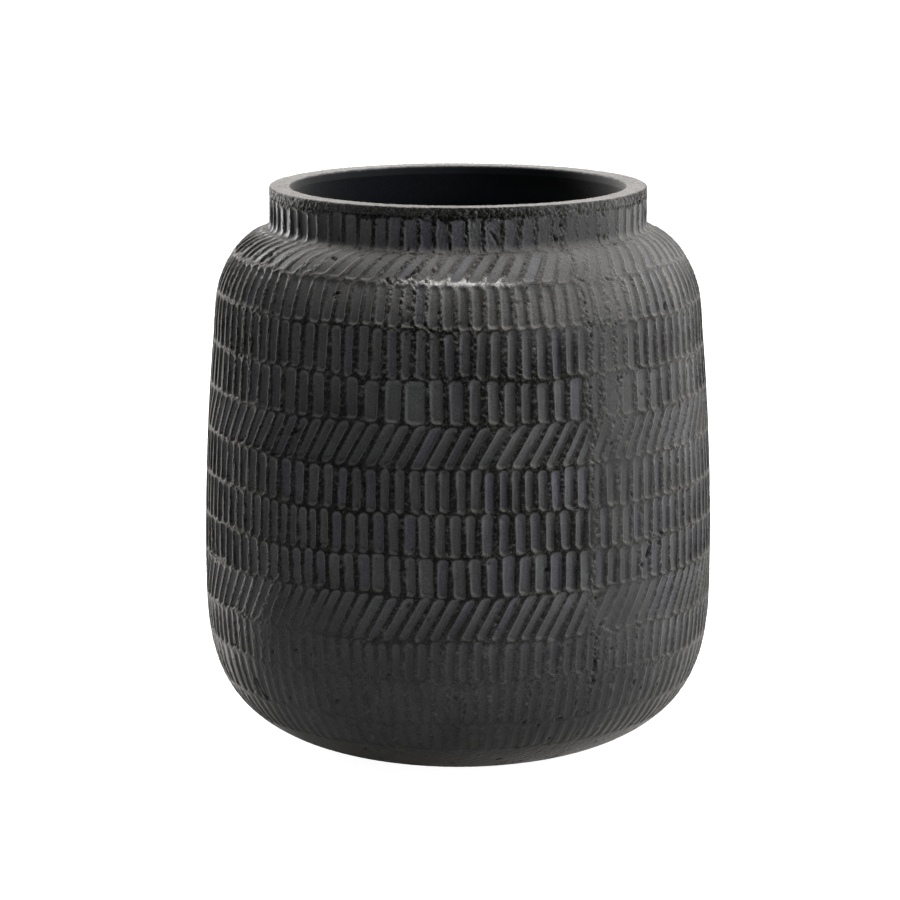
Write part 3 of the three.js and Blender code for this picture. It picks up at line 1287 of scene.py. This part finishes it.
@dataclass
class ClayBody:
    """The worked clay as two grids, the skin outside and the plain wall inside.

    Args:
        outline: the pot's lines.
    """

    outline: Outline
    surface: ClaySurface = field(init=False)
    skin: Skin = field(init=False)
    inside: Inside = field(init=False)
    skin_points: np.ndarray = field(init=False)
    skin_normals: np.ndarray = field(init=False)
    skin_marks: np.ndarray = field(init=False)
    inside_points: np.ndarray = field(init=False)
    inside_normals: np.ndarray = field(init=False)

    def __post_init__(self) -> None:
        """Works the skin and lays the inside."""
        self.surface = ClaySurface(self.outline)
        self.skin = self.surface.worked()
        self.skin_points = self.skin.points()
        self.skin_normals = grid_normals(self.skin_points)
        self.skin_marks = np.stack([self.skin.marks[name] for name in MARKS], -1)
        rim_shoulder = float(self.skin.height[-1]) - ROW_STEP
        levels = [z for z in self.skin.breaks if z >= self.outline.floor_level]
        self.inside = Inside(self.outline, [*levels, rim_shoulder])
        self.inside_points = self.inside.points()
        self.inside_normals = -grid_normals(self.inside_points)

    def ring(self, name: str, low: float, high: float | None) -> bpy.types.Object:
        """Cuts out one ring of the wall.

        Args:
            name: the piece's name.
            low: the height of its lower joint, in mm.
            high: the height of its upper joint, or None for the rim.

        Returns:
            The closed piece.
        """
        skin_end = len(self.skin.along) - 1 if high is None else self.skin.break_rows[high]
        inside_end = self.inside.height.size - 1 if high is None else self.inside.break_rows[high]
        skin_rows = slice(self.skin.break_rows[low], skin_end + 1)
        inside_rows = slice(self.inside.break_rows[low], inside_end + 1)
        mesh = ClayMesh(name)
        outer = mesh.rows(self.skin_points[skin_rows], self.skin_normals[skin_rows],
                          self.skin_marks[skin_rows])
        inner = mesh.plain_rows(self.inside_points[inside_rows],
                                self.inside_normals[inside_rows])
        joint_room, inside_share = 1.0, 0.35
        rise = float(np.ptp(self.skin.along[skin_rows]))
        mesh.quads(outer, rise)
        mesh.stitch(outer[-1], inner[-1], joint_room, fine_first=True)
        mesh.quads(inner[::-1], rise * inside_share)
        mesh.stitch(outer[0], inner[0], joint_room, fine_first=False)
        return mesh.made(TURN * float(self.skin.radius[skin_rows].mean()))

    def disc(self, name: str) -> bpy.types.Object:
        """Makes the clay base: its outer edge, the foot with its hollow, and the inside floor.

        Args:
            name: the piece's name.

        Returns:
            The closed piece.
        """
        top = self.outline.floor_level
        axis_room = 8.0
        skin_rows = slice(0, self.skin.break_rows[top] + 1)
        mesh = ClayMesh(name)
        outer = mesh.rows(self.skin_points[skin_rows], self.skin_normals[skin_rows],
                          self.skin_marks[skin_rows])
        mesh.quads(outer, float(np.ptp(self.skin.along[skin_rows])))
        edge = self.outline.inside_radius(np.array([top]))[0]
        floor_radii = [edge, *np.linspace(edge - 6, axis_room, 9)]
        floor_rings = np.column_stack([floor_radii, np.zeros(len(floor_radii))])
        self.face(mesh, outer[-1], floor_rings, top, upward=True)
        rim, flat, depth = self.outline.hollow
        foot = float(self.skin.radius[0])
        wear = 0.25
        under = np.array([
            (foot - 1.5, 0.0), (rim + 5, 0.0), (rim + 0.8, 0.0), (rim - 0.5, wear),
            ((rim + flat) / 2, depth / 2), (flat + 0.4, depth - wear / 2), (flat - 1, depth),
            *((radius, depth) for radius in np.linspace(flat - 8, axis_room, 6)),
        ])
        self.face(mesh, outer[0], under, 0.0, upward=False)
        return mesh.made(TURN * float(self.skin.radius[skin_rows].mean()))

    def face(self, mesh: ClayMesh, fine: np.ndarray, rings: np.ndarray, level: float,
             upward: bool) -> None:
        """Adds a level clay face from a fine row in to the axis.

        Args:
            mesh: the mesh to add it to.
            fine: the fine row's vertex numbers.
            rings: (radius, height above the level) from the edge in, in mm.
            level: the face's level, in mm.
            upward: whether it looks up.
        """
        angle = self.inside.angle
        radius, rise = rings[:, :1], rings[:, 1:]
        spread = radius * np.ones_like(angle)
        points = np.stack([spread * np.sin(angle), -spread * np.cos(angle),
                           level + rise * np.ones_like(angle)], -1)
        normals = grid_normals(points)
        facing = 1.0 if upward else -1.0
        normals *= np.sign(normals[..., 2:] * facing)
        joint_room, face_room, tip_room = 1.0, 14.0, 2.0
        tip = level + float(rings[-1, 1])
        if upward:
            numbers = mesh.plain_rows(points, normals)
            mesh.stitch(fine, numbers[0], joint_room, fine_first=True)
            mesh.quads(numbers, face_room)
            mesh.pole(numbers[-1], tip, True, tip_room)
            return
        numbers = mesh.plain_rows(points[::-1], normals[::-1])
        mesh.pole(numbers[0], tip, False, tip_room)
        mesh.quads(numbers, face_room)
        mesh.stitch(fine, numbers[-1], joint_room, fine_first=False)


class Nodes:
    """Short ways to place shader nodes in one tree.

    Args:
        tree: the tree to place them in.
    """

    def __init__(self, tree: bpy.types.NodeTree) -> None:
        """Keeps the tree."""
        self.tree = tree

    def add(self, kind: str, **values: object) -> bpy.types.Node:
        """Places a node and sets its options.

        Args:
            kind: the node's type.
            values: its options by name.

        Returns:
            The node.
        """
        node = self.tree.nodes.new(kind)
        for name, value in values.items():
            setattr(node, name, value)
        return node

    def link(self, source: object, target: bpy.types.NodeSocket) -> None:
        """Feeds an input.

        Args:
            source: an output to join it to, or a plain value to set it to.
            target: the input.
        """
        if isinstance(source, bpy.types.NodeSocket):
            self.tree.links.new(source, target)
        else:
            target.default_value = source

    def maths(self, operation: str, first: object, second: object = 0.0,
              clamp: bool = False) -> bpy.types.NodeSocket:
        """One operation on two values.

        Args:
            operation: the operation.
            first: its first value or output.
            second: its second value or output.
            clamp: whether the result is kept between 0 and 1.

        Returns:
            The result.
        """
        node = self.add("ShaderNodeMath", operation=operation, use_clamp=clamp)
        self.link(first, node.inputs[0])
        self.link(second, node.inputs[1])
        return node.outputs[0]

    def mixed(self, share: object, first: object, second: object,
              blend: str = "MIX") -> bpy.types.NodeSocket:
        """Two colours mixed.

        Args:
            share: the second colour's share.
            first: the first colour.
            second: the second colour.
            blend: how they mix.

        Returns:
            The mixed colour.
        """
        node = self.add("ShaderNodeMix", data_type="RGBA", blend_type=blend)
        node.clamp_factor = True
        self.link(share, node.inputs[0])
        self.link(first, node.inputs[6])
        self.link(second, node.inputs[7])
        return node.outputs[2]

    def ranged(self, value: object, low: object, high: object, to_low: float = 0.0,
               to_high: float = 1.0) -> bpy.types.NodeSocket:
        """A value stretched from one range to another.

        Args:
            value: the value.
            low: the lower end of its range.
            high: the upper end of its range.
            to_low: what the lower end becomes.
            to_high: what the upper end becomes.

        Returns:
            The value in its new range, and kept in it.
        """
        node = self.add("ShaderNodeMapRange", clamp=True)
        for target, number in zip(node.inputs, (value, low, high, to_low, to_high)):
            self.link(number, target)
        return node.outputs[0]

    def grain(self, place: object, scale: object, detail: float,
              roughness: float = 0.6) -> bpy.types.NodeSocket:
        """Cloudy noise.

        Args:
            place: the place that it reads.
            scale: how many clouds a metre holds.
            detail: how many finer layers it has.
            roughness: how strong they are.

        Returns:
            A value from 0 to 1.
        """
        node = self.add("ShaderNodeTexNoise")
        self.link(place, node.inputs["Vector"])
        self.link(scale, node.inputs["Scale"])
        self.link(detail, node.inputs["Detail"])
        self.link(roughness, node.inputs["Roughness"])
        return node.outputs[0]


def grey(level: float, warmth: float = 0.0) -> Colour:
    """A near grey: warmth above 0 leans to brown, below 0 to blue."""
    return (level * (1 + warmth), level, level * (1 - warmth * 1.3), 1.0)


def socket(group: bpy.types.NodeTree, name: str, kind: str, way: str,
           value: object = None) -> None:
    """Adds a named input or output to a shader group.

    Args:
        group: the group.
        name: the socket's name.
        kind: Float, Color or Vector.
        way: INPUT or OUTPUT.
        value: an input's own value.
    """
    made = group.interface.new_socket(name=name, in_out=way, socket_type=f"NodeSocket{kind}")
    if value is not None:
        made.default_value = value


class ClayGrain:
    """The shared grain of fired clay: sand, cloudy mottling and the height that a bump reads."""

    name = "clay_grain"
    fine_scale = 1200.0
    lump_scale = 480.0
    cloud_scale = 34.0
    speck_scale = 1250.0

    @classmethod
    def group(cls) -> bpy.types.NodeTree:
        """The group, built once.

        Returns:
            A tree that takes Crumb and puts out Height, Mottle, Sand and Speck.
        """
        if cls.name in bpy.data.node_groups:
            return bpy.data.node_groups[cls.name]
        tree = bpy.data.node_groups.new(cls.name, "ShaderNodeTree")
        socket(tree, "Crumb", "Float", "INPUT", 0.5)
        for name in ("Height", "Mottle", "Sand", "Speck"):
            socket(tree, name, "Float", "OUTPUT")
        nodes = Nodes(tree)
        given = nodes.add("NodeGroupInput").outputs
        place = nodes.add("ShaderNodeTexCoord").outputs["Object"]
        fine = nodes.grain(place, cls.fine_scale, 3.0, 0.7)
        lumps = nodes.grain(place, cls.lump_scale, 2.0)
        clouds = nodes.grain(place, cls.cloud_scale, 4.0)
        specks = nodes.grain(place, cls.speck_scale, 3.0, 0.8)
        sand = nodes.ranged(fine, 0.58, 0.70)
        torn = nodes.maths("MULTIPLY", lumps, given["Crumb"])
        height = nodes.maths("ADD", nodes.maths("MULTIPLY", fine, 0.45), torn)
        sink = nodes.add("NodeGroupOutput")
        nodes.link(height, sink.inputs["Height"])
        nodes.link(clouds, sink.inputs["Mottle"])
        nodes.link(sand, sink.inputs["Sand"])
        nodes.link(specks, sink.inputs["Speck"])
        return tree


class ClayWearAndPaintedLight:
    """The shared wear of the clay, with the light and shade it paints: dust that settles on level
    faces and paints them lighter as light from above, pale scuffed crests with a painted
    highlight on the rim's inner edge, and pits painted dark as shade.
    """

    name = "clay_wear_and_painted_light"
    patchiness = (0.55, 1.15)
    pit_shade_share = 0.8
    pit_shade_colour = grey(0.004)

    @classmethod
    def group(cls) -> bpy.types.NodeTree:
        """The group, built once.

        Returns:
            A tree that takes the clay colour, the dust with its range of slopes and its colour,
            the wear with its colour, the pits and the mottle, and puts out the colour and how
            much dust each place holds. The dust also paints level faces lighter as light from
            above, the wear colour also paints the rim's highlight, and the pits are painted dark
            as shade.
        """
        if cls.name in bpy.data.node_groups:
            return bpy.data.node_groups[cls.name]
        tree = bpy.data.node_groups.new(cls.name, "ShaderNodeTree")
        socket(tree, "Clay", "Color", "INPUT", grey(0.04))
        socket(tree, "Dust And Top Light", "Float", "INPUT", 0.5)
        socket(tree, "Dust And Top Light From", "Float", "INPUT", 0.2)
        socket(tree, "Dust And Top Light To", "Float", "INPUT", 0.9)
        socket(tree, "Dust And Top Light Colour", "Color", "INPUT", grey(0.2))
        socket(tree, "Worn And Rim Highlight", "Float", "INPUT", 0.0)
        socket(tree, "Scuff And Highlight Colour", "Color", "INPUT", grey(0.4))
        socket(tree, "Pit Shade", "Float", "INPUT", 0.0)
        socket(tree, "Mottle", "Float", "INPUT", 0.5)
        socket(tree, "Color", "Color", "OUTPUT")
        socket(tree, "Dusted And Top Lit", "Float", "OUTPUT")
        nodes = Nodes(tree)
        given = nodes.add("NodeGroupInput").outputs
        up = nodes.add("ShaderNodeSeparateXYZ")
        nodes.link(nodes.add("ShaderNodeNewGeometry").outputs["Normal"], up.inputs[0])
        # Faces that look up take the dust colour: dust, and painted light from above.
        level = nodes.ranged(up.outputs[2], given["Dust And Top Light From"], given["Dust And Top Light To"])
        patchy = nodes.ranged(given["Mottle"], 0.3, 0.7, *cls.patchiness)
        dusted_and_top_lit = nodes.maths("MULTIPLY", nodes.maths("MULTIPLY", level, patchy), given["Dust And Top Light"],
                             clamp=True)
        colour = nodes.mixed(dusted_and_top_lit, given["Clay"], given["Dust And Top Light Colour"])
        # Scuffed crests, and the painted highlight on the rim's inner edge.
        colour = nodes.mixed(given["Worn And Rim Highlight"], colour, given["Scuff And Highlight Colour"])
        # Pits and gouges painted near black: painted shade in the hollows.
        pit_shade = nodes.maths("MULTIPLY", given["Pit Shade"], cls.pit_shade_share)
        colour = nodes.mixed(pit_shade, colour, cls.pit_shade_colour)
        sink = nodes.add("NodeGroupOutput")
        nodes.link(colour, sink.inputs["Color"])
        nodes.link(dusted_and_top_lit, sink.inputs["Dusted And Top Lit"])
        return tree


@dataclass(frozen=True)
class ClayFinish:
    """Smoke-fired black clay.

    Args:
        name: the material's name.
        ridge: the colour of torn or open clay.
        grit: the colour of the grit in it.
        floor: the colour of clay pressed smooth.
        cool: the colour that some pressed floors lean to.
        rubbed: the colour of clay that hands have rubbed smooth.
        rubbed_most: the largest share of that colour.
        sand: the colour of sand grains in the clay.
        sand_share: how strongly they show.
        clouding: how dark and how bright the clay gets in clouds.
        speckle: how dark and how bright the specks of torn clay are.
        dust_and_top_light: how much dust lies on level faces; it also paints them lighter, as
            light from above would.
        dust_and_top_light_colour: the dust's colour, which is also the colour of that painted top
            light.
        dust_and_top_light_slope: how level a face has to be to catch dust and its painted top
            light, and to hold all of it.
        scuff_and_highlight_colour: the colour of bare scuffed crests, and of the painted
            highlight on the rim's inner edge.
        soot_and_shade: the dark colour of smoke stains, the inside and the underside: soot, and
            painted shade inside and under the pot.
        rough: roughness of open clay.
        smooth: roughness of pressed clay.
        gloss: how much open clay mirrors, as the shader's specular level.
        burnish: how much of a burnished coat the stamp leaves.
        burnish_rough: the coat's roughness.
        sheen: how much the fine dust brightens edges that turn away.
        sheen_rough: how far in from those edges that reaches.
        sheen_colour: the fine dust's colour.
        bump: how strongly the grain shows.
        bump_height: how high it stands, in mm.
    """

    name: str
    ridge: Colour = grey(0.0045, 0.03)
    grit: Colour = grey(0.050, 0.02)
    floor: Colour = grey(0.071, -0.02)
    cool: Colour = (0.065, 0.065, 0.082, 1.0)
    rubbed: Colour = grey(0.036, 0.01)
    rubbed_most: float = 0.85
    sand: Colour = grey(0.13, 0.03)
    sand_share: float = 0.12
    clouding: tuple[float, float] = (0.72, 1.28)
    speckle: tuple[float, float] = (0.22, 1.78)
    dust_and_top_light: float = 0.8
    dust_and_top_light_colour: Colour = grey(0.132, 0.035)
    dust_and_top_light_slope: tuple[float, float] = (0.05, 0.98)
    scuff_and_highlight_colour: Colour = grey(0.50, 0.02)
    soot_and_shade: Colour = grey(0.007, -0.25)
    rough: float = 0.9
    smooth: float = 0.62
    gloss: float = 0.06
    burnish: float = 0.4
    burnish_rough: float = 0.5
    sheen: float = 0.38
    sheen_rough: float = 0.35
    sheen_colour: Colour = grey(0.9, 0.05)
    bump: float = 1.0
    bump_height: float = 0.5

    def made(self) -> bpy.types.Material:
        """Builds the material from the skin's marks and the shared grain and wear.

        Returns:
            The material.
        """
        material = bpy.data.materials.new(self.name)
        material.use_nodes = True
        nodes = Nodes(material.node_tree)
        shader = material.node_tree.nodes["Principled BSDF"]
        mark = {name: nodes.add("ShaderNodeAttribute", attribute_name=name).outputs["Fac"]
                for name in MARKS}
        grain = nodes.add("ShaderNodeGroup", node_tree=ClayGrain.group())
        nodes.link(mark["crumb"], grain.inputs["Crumb"])
        cool = nodes.ranged(mark["tone"], 0.1, 1.0)
        floor = nodes.mixed(cool, self.floor, self.cool)
        gritty = nodes.ranged(grain.outputs["Speck"], 0.54, 0.72)
        ridge = nodes.mixed(gritty, self.ridge, self.grit)
        clay = nodes.mixed(mark["floor"], ridge, floor)
        rubbed = nodes.maths("MULTIPLY", mark["rubbed"], self.rubbed_most)
        clay = nodes.mixed(rubbed, clay, self.rubbed)
        clouded = nodes.ranged(grain.outputs["Mottle"], 0.25, 0.75, *self.clouding)
        clay = nodes.mixed(1.0, clay, clouded, blend="MULTIPLY")
        sandy = nodes.maths("MULTIPLY", grain.outputs["Sand"], self.sand_share)
        clay = nodes.mixed(sandy, clay, self.sand)
        # Soot on stains, and soot with painted shade on the inside and the underside.
        clay = nodes.mixed(mark["soot_and_shade"], clay, self.soot_and_shade)
        # Dust with painted top light, scuffs with the rim's painted highlight, and painted shade
        # in pits.
        wear = nodes.add("ShaderNodeGroup", node_tree=ClayWearAndPaintedLight.group())
        nodes.link(clay, wear.inputs["Clay"])
        # Dust on level faces, which also paints them lighter as light from above.
        nodes.link(nodes.maths("MULTIPLY", mark["dusty_and_top_lit"], self.dust_and_top_light), wear.inputs["Dust And Top Light"])
        wear.inputs["Dust And Top Light From"].default_value = self.dust_and_top_light_slope[0]
        wear.inputs["Dust And Top Light To"].default_value = self.dust_and_top_light_slope[1]
        wear.inputs["Dust And Top Light Colour"].default_value = self.dust_and_top_light_colour
        wear.inputs["Scuff And Highlight Colour"].default_value = self.scuff_and_highlight_colour
        # Wear, and the rim's painted highlight.
        nodes.link(mark["worn_and_rim_highlight"], wear.inputs["Worn And Rim Highlight"])
        # Painted shade in pits and gouges.
        nodes.link(mark["pit"], wear.inputs["Pit Shade"])
        nodes.link(grain.outputs["Mottle"], wear.inputs["Mottle"])
        speckled = nodes.ranged(grain.outputs["Speck"], 0.37, 0.63, *self.speckle)
        torn = nodes.ranged(mark["crumb"], 0.0, 0.8, 0.4, 1.0)
        speckled = nodes.mixed(torn, wear.outputs["Color"], speckled, blend="MULTIPLY")
        nodes.link(speckled, shader.inputs["Base Color"])
        open_rough = nodes.ranged(mark["burnished"], 0.0, 1.0, self.rough, self.smooth)
        dull = nodes.maths("MULTIPLY", wear.outputs["Dusted And Top Lit"], 0.15)
        nodes.link(nodes.maths("ADD", open_rough, dull, clamp=True), shader.inputs["Roughness"])
        coat = nodes.maths("MULTIPLY", mark["burnished"], self.burnish)
        nodes.link(coat, shader.inputs["Coat Weight"])
        shader.inputs["Coat Roughness"].default_value = self.burnish_rough
        shader.inputs["Specular IOR Level"].default_value = self.gloss
        shader.inputs["Sheen Weight"].default_value = self.sheen
        shader.inputs["Sheen Roughness"].default_value = self.sheen_rough
        shader.inputs["Sheen Tint"].default_value = self.sheen_colour
        bump = nodes.add("ShaderNodeBump")
        bump.inputs["Distance"].default_value = self.bump_height * MM
        strength = nodes.ranged(mark["burnished"], 0.0, 1.0, self.bump, self.bump * 0.4)
        nodes.link(strength, bump.inputs["Strength"])
        nodes.link(grain.outputs["Height"], bump.inputs["Height"])
        nodes.link(bump.outputs[0], shader.inputs["Normal"])
        return material


STAMPED_CLAY = ClayFinish("stamped_black_clay")
# Plain clay: its level tops take more dust, which also paints them lighter as light from above.
PLAIN_CLAY = ClayFinish(
    "wiped_black_clay", ridge=grey(0.026, 0.02), grit=grey(0.085, 0.02), dust_and_top_light=1.0,
    dust_and_top_light_colour=grey(0.12, 0.03), dust_and_top_light_slope=(0.80, 0.97), rough=0.72, smooth=0.6, gloss=0.2,
    bump=0.8,
)


@dataclass
class ClayPot:
    """The whole pot: its clay body cut into sections and courses, and their finishes.

    Args:
        body: the worked clay.
    """

    body: ClayBody

    def build(self) -> list[bpy.types.Object]:
        """Makes and dresses every piece, from the foot up.

        Returns:
            The pieces.
        """
        stamped, plain = STAMPED_CLAY.made(), PLAIN_CLAY.made()
        levels = self.body.surface.levels
        floor, foot_top = self.body.outline.floor_level, levels[-1]
        neck_top = self.body.skin.breaks[-1]
        pieces = [
            self.dressed(self.body.disc("base_disc"), plain, Slot.PLAIN, "floor_slab"),
            self.dressed(self.body.ring("foot_band", floor, foot_top), plain, Slot.PLAIN,
                         "foot_curve"),
        ]
        lowest = len(COURSES)
        for section, count in reversed(SECTIONS.items()):
            for number in range(count, 0, -1):
                name = f"{section}_course_{number}"
                ring = self.body.ring(name, levels[lowest], levels[lowest - 1])
                pieces.append(self.dressed(ring, stamped, Slot.STAMPED, section))
                lowest -= 1
        neck = self.body.ring("neck_band", levels[0], neck_top)
        pieces.append(self.dressed(neck, stamped, Slot.STAMPED, "neck_collar"))
        lip = self.body.ring("rolled_lip", neck_top, None)
        pieces.append(self.dressed(lip, plain, Slot.PLAIN, "rim_lip"))
        return pieces

    def dressed(self, piece: bpy.types.Object, finish: bpy.types.Material, slot: Slot,
                section: str) -> bpy.types.Object:
        """Gives a piece its finish and ties it to the frame.

        Args:
            piece: the clay piece.
            finish: its material.
            slot: the frame's slot that the finish stands for.
            section: the frame's section that the piece replaces.

        Returns:
            The same piece.
        """
        piece.data.materials.append(finish)
        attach(piece, BODY)
        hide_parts(section)
        log.info("%s: %d vertices, %s", piece.name, len(piece.data.vertices), slot.value)
        return piece


@dataclass(frozen=True)
class Lamp:
    """A soft lamp that looks at the pot.

    Args:
        name: its name.
        place: where it hangs, in metres.
        size: its width and height, in metres.
        power: its power in watts.
    """

    name: str
    place: tuple[float, float, float]
    size: tuple[float, float]
    power: float

    def hang(self, aim: Vector) -> None:
        """Hangs the lamp.

        Args:
            aim: the point that it looks at, in metres.
        """
        data = bpy.data.lights.new(self.name, "AREA")
        data.shape = "RECTANGLE"
        data.size, data.size_y = self.size
        data.energy = self.power
        lamp = bpy.data.objects.new(self.name, data)
        lamp.location = self.place
        look = aim - Vector(self.place)
        lamp.rotation_euler = look.to_track_quat("-Z", "Y").to_euler()
        bpy.context.scene.collection.objects.link(lamp)


LAMPS = (
    Lamp("overhead", (0.1, 0.25, 2.2), (2.2, 1.8), 62.0),
    Lamp("right_front", (2.0, -0.55, 0.8), (1.2, 1.6), 44.0),
    Lamp("front_right", (1.3, -1.8, 0.9), (1.0, 1.4), 7.0),
    Lamp("right_back", (1.75, 1.25, 0.6), (0.9, 1.6), 25.0),
    Lamp("left_back", (-1.45, 1.45, 0.6), (0.6, 1.6), 80.0),
)


@dataclass
class Studio:
    """A plain pale floor, soft lamps and the camera.

    Args:
        floor_size: the floor's side, in metres.
        floor_lift: how much the paper floor is lifted towards white where it is looked at.
        room_from: how far behind the pot's side the room starts to give light, from 0 to 1.
        room_full: how far behind it gives all of its light.
        room_light: how much light that is.
        aim_height: the height on the pot's axis that the camera looks at, in metres.
        distance: how far the camera stands from it, in metres.
        pitch: how far the camera looks down, in degrees.
        lens: the focal length, in mm on a 36 mm sensor.
        shift: how far the picture is moved across and up, in shares of its width.
    """

    floor_size: float = 30.0
    floor_lift: float = 0.97
    room_from: float = 0.25
    room_full: float = 0.9
    room_light: float = 0.6
    aim_height: float = 0.150
    distance: float = 1.9858
    pitch: float = 11.13
    lens: float = 146.6
    shift: tuple[float, float] = (-0.0089, 0.0120)

    def build(self) -> None:
        """Makes the floor, the lamps, the surroundings and the camera."""
        self.floor()
        for lamp in LAMPS:
            lamp.hang(Vector((0.0, 0.0, self.aim_height)))
        self.surroundings()
        self.camera()
        bpy.context.scene.view_settings.view_transform = "Standard"

    def floor(self) -> None:
        """The plain pale floor."""
        half = self.floor_size / 2
        mesh = bpy.data.meshes.new("studio_floor")
        corners = [(-half, -half, 0), (half, -half, 0), (half, half, 0), (-half, half, 0)]
        mesh.from_pydata(corners, [], [(0, 1, 2, 3)])
        floor = bpy.data.objects.new("studio_floor", mesh)
        bpy.context.scene.collection.objects.link(floor)
        material = bpy.data.materials.new("pale_paper")
        material.use_nodes = True
        nodes = Nodes(material.node_tree)
        shader = material.node_tree.nodes["Principled BSDF"]
        shader.inputs["Base Color"].default_value = grey(0.5)
        shader.inputs["Roughness"].default_value = 0.95
        shader.inputs["Specular IOR Level"].default_value = 0.1
        shader.inputs["Emission Color"].default_value = grey(1.0)
        seen = nodes.add("ShaderNodeLightPath").outputs["Is Camera Ray"]
        lift = nodes.maths("MULTIPLY", seen, self.floor_lift)
        nodes.link(lift, shader.inputs["Emission Strength"])
        mesh.materials.append(material)

    def surroundings(self) -> None:
        """A white room that is dark in front of the pot and bright behind it."""
        world = bpy.data.worlds.new("white_room")
        bpy.context.scene.world = world
        world.use_nodes = True
        tree = world.node_tree
        tree.nodes.clear()
        nodes = Nodes(tree)
        way = nodes.add("ShaderNodeSeparateXYZ")
        nodes.link(nodes.add("ShaderNodeTexCoord").outputs["Generated"], way.inputs[0])
        strength = nodes.ranged(way.outputs[1], self.room_from, self.room_full, 0.0,
                                self.room_light)
        room = nodes.add("ShaderNodeBackground")
        nodes.link(grey(1.0), room.inputs[0])
        nodes.link(strength, room.inputs[1])
        seen = nodes.add("ShaderNodeBackground")
        nodes.link(grey(1.0), seen.inputs[0])
        mix = nodes.add("ShaderNodeMixShader")
        nodes.link(nodes.add("ShaderNodeLightPath").outputs["Is Camera Ray"], mix.inputs[0])
        nodes.link(room.outputs[0], mix.inputs[1])
        nodes.link(seen.outputs[0], mix.inputs[2])
        sink = nodes.add("ShaderNodeOutputWorld")
        nodes.link(mix.outputs[0], sink.inputs[0])

    def camera(self) -> None:
        """The camera, level across and looking a little down."""
        data = bpy.data.cameras.new("camera")
        data.sensor_width = 36.0
        data.lens = self.lens
        data.shift_x, data.shift_y = self.shift
        camera = bpy.data.objects.new("camera", data)
        pitch = math.radians(self.pitch)
        camera.location = (0.0, -self.distance * math.cos(pitch),
                           self.aim_height + self.distance * math.sin(pitch))
        camera.rotation_euler = (math.pi / 2 - pitch, 0.0, 0.0)
        bpy.context.scene.collection.objects.link(camera)
        bpy.context.scene.camera = camera


def main() -> None:
    """Builds the studio and the pot."""
    logging.basicConfig(level=logging.INFO, format="%(name)s: %(message)s")
    Studio().build()
    log.info("studio: floor, lamps and camera")
    pieces = ClayPot(ClayBody(Outline())).build()
    log.info("pot: %d pieces", len(pieces))


if __name__ == "__main__":
    main()
